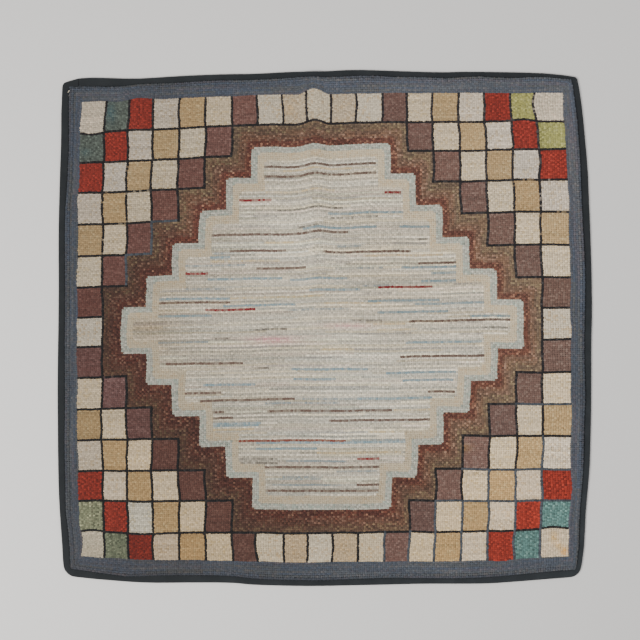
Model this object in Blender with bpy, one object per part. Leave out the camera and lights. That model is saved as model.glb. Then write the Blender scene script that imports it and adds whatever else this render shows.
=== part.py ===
"""A nearly square hooked rug that lies flat on a floor, with one soft ridge from its far edge to its middle.

Metres, +Z up. X runs along the rows of loops and Y across them, towards the far edge. The origin is on
the floor under the middle of the rug. The rug is two pieces: the hooked panel, whose foundation has a bare
margin all round, and one length of tape that is folded over that margin and meets itself near the far left
corner.

Every point is first placed in a plain rectangle, as a distance from its sides, and then moved to where the
uneven cloth has it: round the corners, in from the bowed sides and up over the ridge.
"""

import math
from collections import namedtuple

import bmesh
import bpy
from mathutils import Vector

# The rectangle that just holds the rug.
WIDTH = 1.175
LENGTH = 1.135

# Heights over the floor and distances in from the rim, across the edge of the rug.
TAPE_THICKNESS = 0.0013
TAPE_FACE_WIDTH = 0.0160
TAPE_BACK_WIDTH = 0.0200
MARGIN_THICKNESS = 0.0022
LOOP_TOP = 0.0070
SHOULDER_HEIGHT = 0.0061
SHOULDER_RUN = 0.0020
SHOULDER_EASE = 0.0057
SETTLE_RUN = 0.0100
GAP = 0.0003
FOLD_ROOM = 0.0007

# The fold of the tape, as steps from a square edge, and how far its curve runs in over face and back.
FOLD_SOFTNESS = 0.0008
FOLD_FACE_RUN = 0.0032
FOLD_BACK_RUN = 0.0024
TAPE_EDGE_SOFTNESS = 0.0014

# Where the two ends of the tape meet: along the far side from its left corner, and how far apart.
TAPE_MEETING = 0.0380
TAPE_MEETING_GAP = 0.0005

# The soft ridge. Its crest runs from the far rim to the middle, and it is lower at the rim.
RIDGE_HEIGHT = 0.0080
RIDGE_HALF_WIDTH = 0.0340
RIDGE_RIM_SHARE = 0.45
RIDGE_RIM_RUN = 0.0700
RIDGE_CREST_FAR = -0.0250
RIDGE_CREST_NEAR = -0.0110
RIDGE_END = -0.0300
RIDGE_FULL = 0.2300

# Spacing of the mesh: over the cloth, over the ridge, and round a corner.
CLOTH_STEP = 0.0380
RIDGE_STEP = 0.0085
CORNER_STEPS = (0.0, 0.004, 0.008, 0.012, 0.016, 0.022)

# Radius of each corner of the rim, by the signs of its x and y.
CORNER_RADIUS = {(-1, 1): 0.008, (1, 1): 0.007, (1, -1): 0.020, (-1, -1): 0.022}

# How far each side lies inside the rectangle. Along is the x or y of the place.
Bow = namedtuple("Bow", "along inset")
FAR_SIDE = (
    Bow(-0.5730, 0.0285),
    Bow(-0.5350, 0.0182),
    Bow(-0.4950, 0.0177),
    Bow(-0.4250, 0.0196),
    Bow(-0.3900, 0.0186),
    Bow(-0.3550, 0.0160),
    Bow(-0.2800, 0.0120),
    Bow(-0.2200, 0.0098),
    Bow(-0.1600, 0.0090),
    Bow(-0.0700, 0.0047),
    Bow(-0.0100, 0.0038),
    Bow(0.0600, 0.0002),
    Bow(0.1200, 0.0016),
    Bow(0.2000, 0.0042),
    Bow(0.2550, 0.0056),
    Bow(0.3000, 0.0044),
    Bow(0.3700, 0.0049),
    Bow(0.4400, 0.0063),
    Bow(0.5000, 0.0092),
    Bow(0.5520, 0.0165),
)
NEAR_SIDE = (
    Bow(-0.5650, 0.0225),
    Bow(-0.5100, 0.0160),
    Bow(-0.4600, 0.0120),
    Bow(-0.4200, 0.0087),
    Bow(-0.3700, 0.0070),
    Bow(-0.2900, 0.0075),
    Bow(-0.2050, 0.0070),
    Bow(-0.1600, 0.0031),
    Bow(-0.1000, 0.0009),
    Bow(-0.0200, 0.0000),
    Bow(0.0600, 0.0015),
    Bow(0.1300, 0.0030),
    Bow(0.2200, 0.0050),
    Bow(0.3300, 0.0051),
    Bow(0.3800, 0.0068),
    Bow(0.4400, 0.0115),
    Bow(0.4900, 0.0155),
    Bow(0.5520, 0.0205),
)
LEFT_SIDE = (
    Bow(-0.5420, 0.0160),
    Bow(-0.5150, 0.0120),
    Bow(-0.4700, 0.0096),
    Bow(-0.4250, 0.0062),
    Bow(-0.3700, 0.0030),
    Bow(-0.3000, 0.0012),
    Bow(-0.2000, 0.0003),
    Bow(-0.1250, 0.0000),
    Bow(-0.0500, 0.0008),
    Bow(0.0300, 0.0019),
    Bow(0.1000, 0.0024),
    Bow(0.1700, 0.0021),
    Bow(0.2200, 0.0023),
    Bow(0.2900, 0.0038),
    Bow(0.3500, 0.0056),
    Bow(0.4200, 0.0078),
    Bow(0.4700, 0.0080),
    Bow(0.5390, 0.0108),
)
RIGHT_SIDE = (
    Bow(-0.5430, 0.0275),
    Bow(-0.5000, 0.0196),
    Bow(-0.4600, 0.0162),
    Bow(-0.4100, 0.0142),
    Bow(-0.3600, 0.0098),
    Bow(-0.3100, 0.0057),
    Bow(-0.2500, 0.0036),
    Bow(-0.1600, 0.0018),
    Bow(-0.0300, 0.0015),
    Bow(0.0400, 0.0000),
    Bow(0.1200, 0.0011),
    Bow(0.2000, 0.0034),
    Bow(0.2900, 0.0071),
    Bow(0.3500, 0.0096),
    Bow(0.4000, 0.0140),
    Bow(0.4600, 0.0194),
    Bow(0.5100, 0.0255),
    Bow(0.5450, 0.0320),
)

# The tape was folded by hand, so its face is wider in some places than in others. Along is as above.
Fold = namedtuple("Fold", "along width")
FAR_TAPE = (
    Fold(-0.5400, 0.0190),
    Fold(-0.4900, 0.0212),
    Fold(-0.4500, 0.0185),
    Fold(-0.4050, 0.0128),
    Fold(-0.3600, 0.0146),
    Fold(-0.3150, 0.0156),
    Fold(-0.2700, 0.0143),
    Fold(-0.1000, 0.0144),
    Fold(-0.0300, 0.0121),
    Fold(0.0400, 0.0145),
    Fold(0.1250, 0.0122),
    Fold(0.1800, 0.0141),
    Fold(0.2350, 0.0120),
    Fold(0.3000, 0.0144),
    Fold(0.3650, 0.0107),
    Fold(0.4300, 0.0145),
    Fold(0.4900, 0.0092),
    Fold(0.5400, 0.0087),
)
NEAR_TAPE = (
    Fold(-0.5400, 0.0175),
    Fold(-0.5000, 0.0151),
    Fold(-0.4500, 0.0120),
    Fold(-0.3800, 0.0171),
    Fold(-0.2400, 0.0166),
    Fold(-0.1500, 0.0141),
    Fold(-0.0100, 0.0132),
    Fold(0.0800, 0.0143),
    Fold(0.1500, 0.0153),
    Fold(0.2100, 0.0132),
    Fold(0.3000, 0.0122),
    Fold(0.3900, 0.0144),
    Fold(0.4800, 0.0162),
    Fold(0.5400, 0.0172),
)
LEFT_TAPE = (
    Fold(-0.5200, 0.0170),
    Fold(-0.4600, 0.0163),
    Fold(-0.4200, 0.0135),
    Fold(-0.3600, 0.0155),
    Fold(-0.2500, 0.0149),
    Fold(-0.1700, 0.0166),
    Fold(-0.0300, 0.0151),
    Fold(0.1700, 0.0143),
    Fold(0.2800, 0.0142),
    Fold(0.3300, 0.0173),
    Fold(0.4500, 0.0183),
    Fold(0.5200, 0.0165),
)
RIGHT_TAPE = (
    Fold(-0.5200, 0.0123),
    Fold(-0.4300, 0.0136),
    Fold(-0.3100, 0.0135),
    Fold(-0.2300, 0.0147),
    Fold(-0.1600, 0.0128),
    Fold(-0.1000, 0.0144),
    Fold(0.0400, 0.0154),
    Fold(0.1300, 0.0137),
    Fold(0.1900, 0.0151),
    Fold(0.3000, 0.0161),
    Fold(0.3800, 0.0152),
    Fold(0.4600, 0.0141),
    Fold(0.5200, 0.0150),
)

# How far into the rug the cloth gives way to a fold that is wider or narrower.
FOLD_REACH = 0.0400

# Faces that meet at a wider angle than this are shaded as a crease.
SHARP_ANGLE = math.radians(35)

TAPE_COLOUR = (0.024, 0.034, 0.039, 1.0)
YARN_COLOUR = (0.448, 0.371, 0.283, 1.0)
CLOTH_ROUGHNESS = 0.95


def start_empty():
    """Removes whatever the scene holds."""
    for old in list(bpy.data.objects):
        bpy.data.objects.remove(old, do_unlink=True)


def eased(share):
    """A share from 0 to 1 that starts and ends softly."""
    share = min(max(share, 0.0), 1.0)
    return share * share * (3.0 - 2.0 * share)


def slope_at(table, index):
    """How fast the second column changes at a row of the table."""
    before = table[max(index - 1, 0)]
    after = table[min(index + 1, len(table) - 1)]
    return (after[1] - before[1]) / (after.along - before.along)


def read_table(table, along):
    """The second column of a table at a place along the side, on a smooth curve through the table's rows."""
    if along <= table[0].along:
        return table[0][1] + slope_at(table, 0) * (along - table[0].along)
    if along >= table[-1].along:
        return table[-1][1] + slope_at(table, len(table) - 1) * (along - table[-1].along)
    index = max(i for i, row in enumerate(table) if row.along <= along)
    low, high = table[index], table[index + 1]
    run = high.along - low.along
    t = (along - low.along) / run
    return (
        low[1] * (1 + 2 * t) * (1 - t) ** 2
        + high[1] * t * t * (3 - 2 * t)
        + slope_at(table, index) * run * t * (1 - t) ** 2
        + slope_at(table, index + 1) * run * t * t * (t - 1)
    )


def folded_to(depth, along, folds):
    """A depth in from the rim, moved so that the tape's edge comes to where the table of folds has it."""
    if depth < TAPE_FACE_WIDTH:
        share = eased(depth / TAPE_FACE_WIDTH)
    else:
        share = 1.0 - eased((depth - TAPE_FACE_WIDTH) / FOLD_REACH)
    inner = min(max(along, folds[0].along), folds[-1].along)
    return depth + share * (read_table(folds, inner) - TAPE_FACE_WIDTH)


def folded(x, y):
    """A point of the rectangle after the tape's folds have moved it, on its nearest side in x and in y."""
    side_x = 1 if x >= 0 else -1
    side_y = 1 if y >= 0 else -1
    deep_x = folded_to(WIDTH / 2 - abs(x), y, RIGHT_TAPE if side_x > 0 else LEFT_TAPE)
    deep_y = folded_to(LENGTH / 2 - abs(y), x, FAR_TAPE if side_y > 0 else NEAR_TAPE)
    return side_x * (WIDTH / 2 - deep_x), side_y * (LENGTH / 2 - deep_y)


def rounded(x, y):
    """A point of the rectangle after its corners are rounded, with its depth in from the rim kept."""
    side_x = 1 if x >= 0 else -1
    side_y = 1 if y >= 0 else -1
    radius = CORNER_RADIUS[side_x, side_y]
    past_x = radius - (WIDTH / 2 - abs(x))
    past_y = radius - (LENGTH / 2 - abs(y))
    if past_x <= 0 or past_y <= 0:
        return x, y
    pull = max(past_x, past_y) / math.hypot(past_x, past_y)
    return (
        side_x * (WIDTH / 2 - radius + past_x * pull),
        side_y * (LENGTH / 2 - radius + past_y * pull),
    )


def between_sides(place, low_side, high_side, span, share):
    """A coordinate that is a share of the way from one side to the other, where they pass a place."""
    low = -span / 2 + read_table(low_side, place)
    high = span / 2 - read_table(high_side, place)
    return low + (high - low) * share


def bowed(x, y):
    """A point of the rectangle after its four sides are drawn in to the outline of the rug."""
    share_x = x / WIDTH + 0.5
    share_y = y / LENGTH + 0.5
    rough_x = between_sides(y, LEFT_SIDE, RIGHT_SIDE, WIDTH, share_x)
    new_y = between_sides(rough_x, NEAR_SIDE, FAR_SIDE, LENGTH, share_y)
    new_x = between_sides(new_y, LEFT_SIDE, RIGHT_SIDE, WIDTH, share_x)
    return new_x, new_y


def ridge(x, y):
    """How high the ridge lifts the cloth at a place of the rug."""
    along = eased((y - RIDGE_END) / (RIDGE_FULL - RIDGE_END))
    to_rim = (y - RIDGE_END) / (LENGTH / 2 - RIDGE_END)
    crest = RIDGE_CREST_NEAR + (RIDGE_CREST_FAR - RIDGE_CREST_NEAR) * to_rim
    across = eased(1.0 - abs(x - crest) / RIDGE_HALF_WIDTH)
    from_rim = eased((LENGTH / 2 - y) / RIDGE_RIM_RUN)
    return RIDGE_HEIGHT * along * across * (RIDGE_RIM_SHARE + (1.0 - RIDGE_RIM_SHARE) * from_rim)


def placed(x, y, z):
    """Where a point of the rectangle lies on the real rug."""
    x, y = bowed(*rounded(*folded(x, y)))
    return Vector((x, y, z + ridge(x, y)))


def even_steps(start, end, longest):
    """Places from start up to but not including end, evenly spaced."""
    count = math.ceil((end - start) / longest)
    return [start + (end - start) * i / count for i in range(count)]


def rim_depths():
    """Depths of the panel's lines along its rim: its edge and margin, then the foot and top of the loops."""
    edge = TAPE_THICKNESS + FOLD_ROOM
    foot = TAPE_FACE_WIDTH + GAP
    shoulder = foot + SHOULDER_RUN
    top = shoulder + SHOULDER_EASE
    return [edge, (edge + foot) / 2, foot, shoulder, top, top + SETTLE_RUN]


def crossing_lines(span, fine_from=None, fine_to=None):
    """Where the mesh lines cross a side: close at both rims and over the ridge, and wide between them."""
    rim = rim_depths()
    start = -span / 2 + rim[-1]
    end = span / 2 - rim[-1]
    if fine_from is None:
        inner = even_steps(start, end, CLOTH_STEP)
    else:
        inner = even_steps(start, fine_from, CLOTH_STEP)
        inner += even_steps(fine_from, fine_to, RIDGE_STEP)
        inner += even_steps(fine_to, end, CLOTH_STEP)
    return [-span / 2 + d for d in rim[:-1]] + inner + [span / 2 - d for d in reversed(rim)]


def lines_of_x():
    return crossing_lines(WIDTH, RIDGE_CREST_FAR - RIDGE_HALF_WIDTH, RIDGE_CREST_NEAR + RIDGE_HALF_WIDTH)


def lines_of_y():
    return crossing_lines(LENGTH)


def panel_back(depth):
    """Height of the panel's underside: on the floor, but over the tape's back flap near the rim."""
    over_tape = TAPE_THICKNESS + GAP
    settle = rim_depths()[-2]
    return over_tape * (1.0 - eased((depth - settle) / SETTLE_RUN))


def panel_front(depth):
    """Height of the panel's face: the bare margin, then the round shoulder and the tops of the loops."""
    _, _, foot, shoulder, top, _ = rim_depths()
    margin = panel_back(0.0) + MARGIN_THICKNESS
    if depth <= foot:
        return margin
    if depth <= shoulder:
        return margin + (SHOULDER_HEIGHT - margin) * (depth - foot) / SHOULDER_RUN
    return SHOULDER_HEIGHT + (LOOP_TOP - SHOULDER_HEIGHT) * min((depth - shoulder) / (top - shoulder), 1.0)


def depth_of(x, y):
    """Distance of a point of the rectangle from its nearest side."""
    return min(WIDTH / 2 - abs(x), LENGTH / 2 - abs(y))


def cloth_material(name, colour):
    material = bpy.data.materials.new(name)
    material.use_nodes = True
    shader = material.node_tree.nodes["Principled BSDF"]
    shader.inputs["Base Color"].default_value = colour
    shader.inputs["Roughness"].default_value = CLOTH_ROUGHNESS
    shader.inputs["Metallic"].default_value = 0.0
    return material


def finished(bm, name, material, collection):
    """Makes an object of a finished mesh, smooth but for its turned edges."""
    bmesh.ops.recalc_face_normals(bm, faces=bm.faces)
    mesh = bpy.data.meshes.new(name)
    bm.to_mesh(mesh)
    bm.free()
    mesh.materials.append(material)
    mesh.shade_smooth()
    mesh.set_sharp_from_angle(angle=SHARP_ANGLE)
    made = bpy.data.objects.new(name, mesh)
    collection.objects.link(made)
    return made


def hooked_panel(collection):
    """The foundation with its loops: a grid laid on the uneven outline, thickened by an extrusion."""
    across = lines_of_x()
    along = lines_of_y()
    columns = len(across) - 1
    rows = len(along) - 1
    bm = bmesh.new()
    bmesh.ops.create_grid(bm, x_segments=columns, y_segments=rows, size=1.0)
    for vert in bm.verts:
        column = round((vert.co.x + 1.0) / 2.0 * columns)
        row = round((vert.co.y + 1.0) / 2.0 * rows)
        vert.co.x = across[column]
        vert.co.y = along[row]
    back = list(bm.verts)
    made = bmesh.ops.extrude_face_region(bm, geom=list(bm.faces), use_keep_orig=True)
    front = [item for item in made["geom"] if isinstance(item, bmesh.types.BMVert)]
    for verts, height_at in ((back, panel_back), (front, panel_front)):
        for vert in verts:
            x, y, _ = vert.co
            vert.co = placed(x, y, height_at(depth_of(x, y)))
    return finished(bm, "hooked_panel", cloth_material("hooked wool", YARN_COLOUR), collection)


def tape_section():
    """The folded tape cut across: depths in from the rim and heights, round its face, fold and back."""
    back_top = TAPE_THICKNESS
    face_under = panel_front(0.0) + GAP
    face_top = face_under + TAPE_THICKNESS
    soft = FOLD_SOFTNESS
    return [
        (TAPE_FACE_WIDTH, face_under),
        (TAPE_FACE_WIDTH, face_top - soft / 2),
        (TAPE_FACE_WIDTH - TAPE_EDGE_SOFTNESS, face_top),
        (FOLD_FACE_RUN, face_top),
        (soft, face_top - soft),
        (0.0, face_top / 2),
        (soft, soft / 2),
        (FOLD_BACK_RUN, 0.0),
        (TAPE_BACK_WIDTH, 0.0),
        (TAPE_BACK_WIDTH, back_top),
        (TAPE_THICKNESS, back_top),
        (TAPE_THICKNESS, face_under),
    ]


def tape_stations(span, lines, start=0.0, end=None):
    """Distances along a side at which the tape's section stands: close at corners, else as the panel's."""
    fan = rim_depths()[-1]
    end = span if end is None else end
    inner = [line + span / 2 for line in lines if fan < line + span / 2 < span - fan]
    last = [span - step for step in reversed(CORNER_STEPS[1:])]
    every = list(CORNER_STEPS) + [fan] + inner + [span - fan] + last
    return [a for a in every if start <= a < end]


def mitred(along, depth, span):
    """Distance along a side of a point at some depth: near a corner the section leans towards the mitre."""
    fan = rim_depths()[-1]
    if along < fan:
        return along + depth * (1.0 - along / fan)
    if span - along < fan:
        return along - depth * (1.0 - (span - along) / fan)
    return along


def edge_binding(collection):
    """One length of tape, folded over the margin all round, from its one end on the far side to the other."""
    far, right, near, left = range(4)
    x_lines = lines_of_x()
    y_lines = lines_of_y()
    turned_x = [-line for line in reversed(x_lines)]
    turned_y = [-line for line in reversed(y_lines)]
    meeting = TAPE_MEETING
    apart = TAPE_MEETING_GAP
    way = [(far, meeting + apart / 2)]
    way += [(far, a) for a in tape_stations(WIDTH, x_lines, start=meeting + apart)]
    way += [(right, a) for a in tape_stations(LENGTH, turned_y)]
    way += [(near, a) for a in tape_stations(WIDTH, turned_x)]
    way += [(left, a) for a in tape_stations(LENGTH, y_lines)]
    way += [(far, a) for a in tape_stations(WIDTH, x_lines, end=meeting - apart)]
    way += [(far, meeting - apart / 2)]
    half_x = WIDTH / 2
    half_y = LENGTH / 2
    place_on = {
        far: lambda a, d: (-half_x + mitred(a, d, WIDTH), half_y - d),
        right: lambda a, d: (half_x - d, half_y - mitred(a, d, LENGTH)),
        near: lambda a, d: (half_x - mitred(a, d, WIDTH), -half_y + d),
        left: lambda a, d: (-half_x + d, -half_y + mitred(a, d, LENGTH)),
    }
    section = tape_section()
    bm = bmesh.new()
    loops = []
    for side, along in way:
        loop = []
        for depth, height in section:
            x, y = place_on[side](along, depth)
            loop.append(bm.verts.new(placed(x, y, height)))
        loops.append(loop)
    count = len(section)
    for loop, after in zip(loops, loops[1:]):
        for i in range(count):
            j = (i + 1) % count
            bm.faces.new((loop[i], loop[j], after[j], after[i]))
    bm.faces.new(loops[0])
    bm.faces.new(reversed(loops[-1]))
    return finished(bm, "edge_binding", cloth_material("binding tape", TAPE_COLOUR), collection)


def centre_on_origin(pieces):
    """Moves the rug so that the middle of its box is over the origin."""
    points = [vert.co for piece in pieces for vert in piece.data.vertices]
    low = Vector(min(p[i] for p in points) for i in range(3))
    high = Vector(max(p[i] for p in points) for i in range(3))
    shift = Vector((-(low.x + high.x) / 2, -(low.y + high.y) / 2, -low.z))
    for piece in pieces:
        for vert in piece.data.vertices:
            vert.co += shift


def main():
    start_empty()
    rug = bpy.data.collections.new("hooked_rug")
    bpy.context.scene.collection.children.link(rug)
    centre_on_origin([hooked_panel(rug), edge_binding(rug)])


main()
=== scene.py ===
import math
from collections import namedtuple

import bpy
import numpy as np
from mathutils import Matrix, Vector
from mathutils.bvhtree import BVHTree


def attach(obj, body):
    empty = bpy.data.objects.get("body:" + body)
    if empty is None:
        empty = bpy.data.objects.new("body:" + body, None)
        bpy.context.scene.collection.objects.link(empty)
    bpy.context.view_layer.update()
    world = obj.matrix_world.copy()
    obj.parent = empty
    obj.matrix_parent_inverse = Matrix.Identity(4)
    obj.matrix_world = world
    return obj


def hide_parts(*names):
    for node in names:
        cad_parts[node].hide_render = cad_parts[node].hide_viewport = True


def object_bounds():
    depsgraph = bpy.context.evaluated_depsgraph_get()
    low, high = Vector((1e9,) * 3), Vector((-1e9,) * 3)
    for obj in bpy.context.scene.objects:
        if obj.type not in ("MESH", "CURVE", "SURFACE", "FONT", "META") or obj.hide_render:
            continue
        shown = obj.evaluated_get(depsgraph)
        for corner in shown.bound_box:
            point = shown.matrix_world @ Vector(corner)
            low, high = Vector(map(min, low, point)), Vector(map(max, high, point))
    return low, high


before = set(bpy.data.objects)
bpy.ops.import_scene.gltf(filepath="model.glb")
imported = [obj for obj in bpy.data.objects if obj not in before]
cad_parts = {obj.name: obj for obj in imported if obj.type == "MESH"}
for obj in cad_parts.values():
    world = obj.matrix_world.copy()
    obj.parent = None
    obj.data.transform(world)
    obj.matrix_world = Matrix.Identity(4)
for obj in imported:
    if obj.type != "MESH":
        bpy.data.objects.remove(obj)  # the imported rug: its hooked panel and its edge binding
cadLow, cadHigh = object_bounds()
print("frame loaded")

halfRug = 0.5  # m: what changes over the rug is given for this length from its middle
down = Vector((0, 0, -1))
up = Vector((0, 0, 1))
above = cadHigh.z + 0.05


def deselectAll():
    if bpy.context.object and bpy.context.object.mode != "OBJECT":
        bpy.ops.object.mode_set(mode="OBJECT")
    bpy.ops.object.select_all(action="DESELECT")


def startEdit(action="SELECT"):
    bpy.ops.object.mode_set(mode="EDIT")
    bpy.ops.mesh.select_all(action=action)


def endEdit():
    bpy.ops.object.mode_set(mode="OBJECT")


def meshOf(piece):
    # its points, and its faces as the numbers of their points
    return [v.co.copy() for v in piece.data.vertices], [tuple(p.vertices) for p in piece.data.polygons]


def linear(colour):
    # a screen colour from 0 to 255 as the light that it stands for
    shares = [level / 255 for level in colour]
    return np.array([s / 12.92 if s < 0.0404 else ((s + 0.055) / 1.055) ** 2.4 for s in shares])


dye = {"contrast": 1.27, "strength": 1.19, "plain": 0.71, "deep": 1.67, "darkest": 0.0005}


def dyed(colour):
    # the yarn's own colour for one that is seen on the screen under this studio's light
    light = linear(colour)
    grey = light @ (0.2126, 0.7152, 0.0722)
    spread = dye["plain"] + dye["deep"] * grey
    return dye["strength"] * np.maximum(grey + spread * (light - grey), dye["darkest"]) ** dye["contrast"]


def paint(colour):
    return (*dyed(colour), 1.0)


def eased(share):
    share = np.clip(share, 0.0, 1.0)
    return share * share * (3 - 2 * share)


def bell(x, y, reach):
    # 1 in the middle, and next to nothing past twice the reach
    return np.exp(-(x ** 2 + y ** 2) / reach ** 2)


def turned(x, y, angle):
    return x * np.cos(angle) - y * np.sin(angle), x * np.sin(angle) + y * np.cos(angle)


class Wire:
    # a shader socket that takes part in sums as a number does
    def __init__(self, tree, socket=None):
        self.tree = tree
        self.socket = socket

    def node(self, kind, settings=None, values=None):
        made = self.tree.nodes.new(kind)
        for name, value in (settings or {}).items():
            if name == "stops":
                ramp = made.color_ramp
                ramp.interpolation = "CONSTANT"
                while len(ramp.elements) < len(value):
                    ramp.elements.new(1.0)
                for element, (place, colour) in zip(ramp.elements, value):
                    element.position = place
                    element.color = colour
            else:
                setattr(made, name, value)
        for name, value in (values or {}).items():
            if isinstance(value, Wire):
                self.tree.links.new(value.socket, made.inputs[name])
            else:
                made.inputs[name].default_value = value
        return Wire(self.tree, made.outputs[0])

    def output(self, number):
        return Wire(self.tree, self.socket.node.outputs[number])

    def math(self, operation, *values):
        return self.node("ShaderNodeMath", {"operation": operation}, dict(enumerate(values)))

    def __floordiv__(self, other):
        return self.math("FLOOR", self / other)

    def __abs__(self):
        return self.math("ABSOLUTE", self)

    def scaled(self, amount):
        return self.node("ShaderNodeVectorMath", {"operation": "SCALE"}, {0: self, "Scale": amount})

    def mix(self, first, second):
        # the first colour where this is 0, and the second where it is 1
        return self.node("ShaderNodeMix", {"data_type": "RGBA"}, {0: self, 6: first, 7: second}).output(2)

    def noise(self, scale, detail, roughness):
        values = {"Vector": self, "Scale": scale, "Detail": detail, "Roughness": roughness}
        return self.node("ShaderNodeTexNoise", {}, values)

    def feed(self, name):
        self.tree.links.new(self.socket, self.tree.nodes["Principled BSDF"].inputs[name])

    def feedBump(self, strength, distance):
        values = {"Strength": strength, "Distance": distance, "Height": self}
        self.node("ShaderNodeBump", {}, values).feed("Normal")


def overload(name, operation):
    # the operator, with the socket before it or after it
    setattr(Wire, "__%s__" % name, lambda self, other: self.math(operation, self, other))
    setattr(Wire, "__r%s__" % name, lambda self, other: self.math(operation, other, self))


for name, operation in (
    ("add", "ADD"), ("sub", "SUBTRACT"), ("mul", "MULTIPLY"), ("truediv", "DIVIDE"),
    ("mod", "FLOORED_MODULO"), ("lt", "LESS_THAN"), ("gt", "GREATER_THAN"),
):
    overload(name, operation)


def startMaterial(name, roughness, sheen, colour=(0.8, 0.8, 0.8)):
    made = bpy.data.materials.new(name)
    made.use_nodes = True
    for name, value in (
        ("Base Color", (*colour, 1.0)), ("Roughness", roughness), ("Specular IOR Level", 0.25),
        ("Sheen Weight", sheen), ("Sheen Roughness", 0.6),
    ):
        made.node_tree.nodes["Principled BSDF"].inputs[name].default_value = value
    return made, Wire(made.node_tree)


blocks = {  # the patchwork of blocks, in mm
    "widths": (52, 53, 54, 58, 58, 59, 56, 57, 52, 55, 56, 59, 55, 56, 59, 58, 59, 57, 65),
    "heights": (  # from the far side, at the left, the middle and the right
        (65, 67, 66, 69, 69, 68, 66, 65, 68, 70, 68, 68, 65, 68, 57),
        (62, 66, 67, 70, 72, 70, 67, 67, 69, 69, 69, 72, 69, 71, 66),
        (61, 60, 67, 70, 72, 71, 67, 69, 72, 70, 70, 74, 69, 63, 63),
    ),
    "farEdge": (497, 513, 515),  # at the left, the middle and the right
    "leftEdge": (-536, -543, -533),  # near, middle and far
    "rightEdge": (534, 540, 525),
    "loops": 12,  # across a block
    "rows": 16,  # along a block
}
border = {"left": 6, "right": 6, "far": 8, "near": 8}  # the grey border round the blocks, in loops or rows
setBack = {"left": 0.0019, "right": 0.0016, "far": 0.0004, "near": 0.0017}  # of the outer loops, in m
sway = {  # how the lines of loops sway, in mm, with the loops (or rows) of a whole wave each way
    "across": ((1.1, 160, 37), (0.7, -58, 21), (0.4, 33, 13)),
    "along": ((0.8, 75, 190), (0.4, -34, 120), (0.25, 17, 90)),
}
jog = {  # how the rows step towards the far side over the ridge, and sag a little beside it, in mm
    "at": (60, 210, 270, 400, 444, 500),
    "rise": (0.0, 3.4, 4.2, 4.4, 7.5, 12.3),
    "sag": (0.0, 1.6, 2.2, 2.4, 1.2, 0.0),
    # and in m
    "halfWidth": 0.037,
    "sagAway": 0.058,
    "sagWidth": 0.030,
    "sagRight": 0.5,  # the sag at the right as a share of that at the left
    "stillAtEdge": 0.032,
    "crestFar": -0.0250,
    "crestNear": -0.0080,
}
crease = {  # the sharp line along the ridge, in m
    "depth": 0.0010,
    "halfWidth": 0.0062,
    "start": 0.25,  # how far nearward of the middle, as a share of halfRug
    "shade": 0.12,  # how much darker its loops are
    "left": 0.010,  # of the ridge's crest, at halfRug farward
}
laying = {  # how the rows are laid over the cloth, in m
    "guess": (1.12, 1.08),  # the pile's size, to start from
    "rounds": 4,
    "stillAtRim": 7,  # loops that sway less
    "nearTop": 0.004,
}
rim = {  # how the pile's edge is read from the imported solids, in m
    "step": 0.0004,
    "steps": 180,
    "places": 80,
    "reach": (0.505, 0.53),  # along the sides, and along the ends
}
sides = {"left": (-1, 0), "right": (1, 0), "far": (1, 1), "near": (-1, 1)}  # which way is out, on x or y

blockLoops, blockRows = blocks["loops"], blocks["rows"]
columnCount, lineCount = len(blocks["widths"]), len(blocks["heights"][0])
loopsAcross = border["left"] + blockLoops * columnCount + border["right"]
rowsAlong = border["far"] + blockRows * lineCount + border["near"]
panel = BVHTree.FromPolygons(*meshOf(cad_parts["hooked_panel"]))
tape = BVHTree.FromPolygons(*meshOf(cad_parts["edge_binding"]))


def pileEdgeAt(point, inward):
    # steps in from outside the rug until the loops stand higher than the tape
    for i in range(rim["steps"]):
        spot = point + inward * (i * rim["step"])
        onPanel, onTape = [tree.ray_cast((spot.x, spot.y, above), down)[0] for tree in (panel, tape)]
        if onPanel and (onTape is None or onPanel.z > onTape.z):
            break
    return spot


def readSide(sign, axis):
    # places along a side, and where the pile ends there
    spots = []
    for along in np.linspace(-rim["reach"][axis], rim["reach"][axis], rim["places"]):
        start = Vector((along, along, 0))
        start[axis] = (cadHigh if sign > 0 else cadLow)[axis]
        inward = Vector((0, 0, 0))
        inward[axis] = -sign
        spots.append(pileEdgeAt(start, inward))
    return np.array([spot[1 - axis] for spot in spots]), np.array([spot[axis] for spot in spots])


sideLines = {side: readSide(*facts) for side, facts in sides.items()}


def pileEdge(side, along):
    # where the loops end on a side, at places along it; past the last place the line runs straight on
    places, edge = sideLines[side]
    first = (edge[4] - edge[0]) / (places[4] - places[0])
    last = (edge[-1] - edge[-5]) / (places[-1] - places[-5])
    inside = np.interp(along, places, edge)
    inside = np.where(along < places[0], edge[0] + first * (along - places[0]), inside)
    return np.where(along > places[-1], edge[-1] + last * (along - places[-1]), inside)


def bowed(first, middle, last, at):
    # a gently bowed line through three places, which lie at -1, 0 and 1
    return middle + at * (last - first) / 2 + at * at * ((first + last) / 2 - middle)


def columnPlace(loop, y):
    # x of a line of loops that runs through the blocks
    edges = np.concatenate(([0], np.cumsum(blocks["widths"])))
    share = np.interp(loop - border["left"], np.arange(len(edges)) * blockLoops, edges / edges[-1])
    left = bowed(*blocks["leftEdge"], y / halfRug)
    right = bowed(*blocks["rightEdge"], y / halfRug)
    return (left + share * (right - left)) / 1000


def rowPlace(row, x):
    # y of a row that runs through the blocks
    places = []
    for start, heights in zip(blocks["farEdge"], blocks["heights"]):
        edges = np.concatenate(([0], np.cumsum(heights)))
        places.append(start - np.interp(row - border["far"], np.arange(len(edges)) * blockRows, edges))
    return bowed(*places, x / halfRug) / 1000


def crestAt(y):
    return jog["crestNear"] + (jog["crestFar"] - jog["crestNear"]) * y / halfRug


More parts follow.
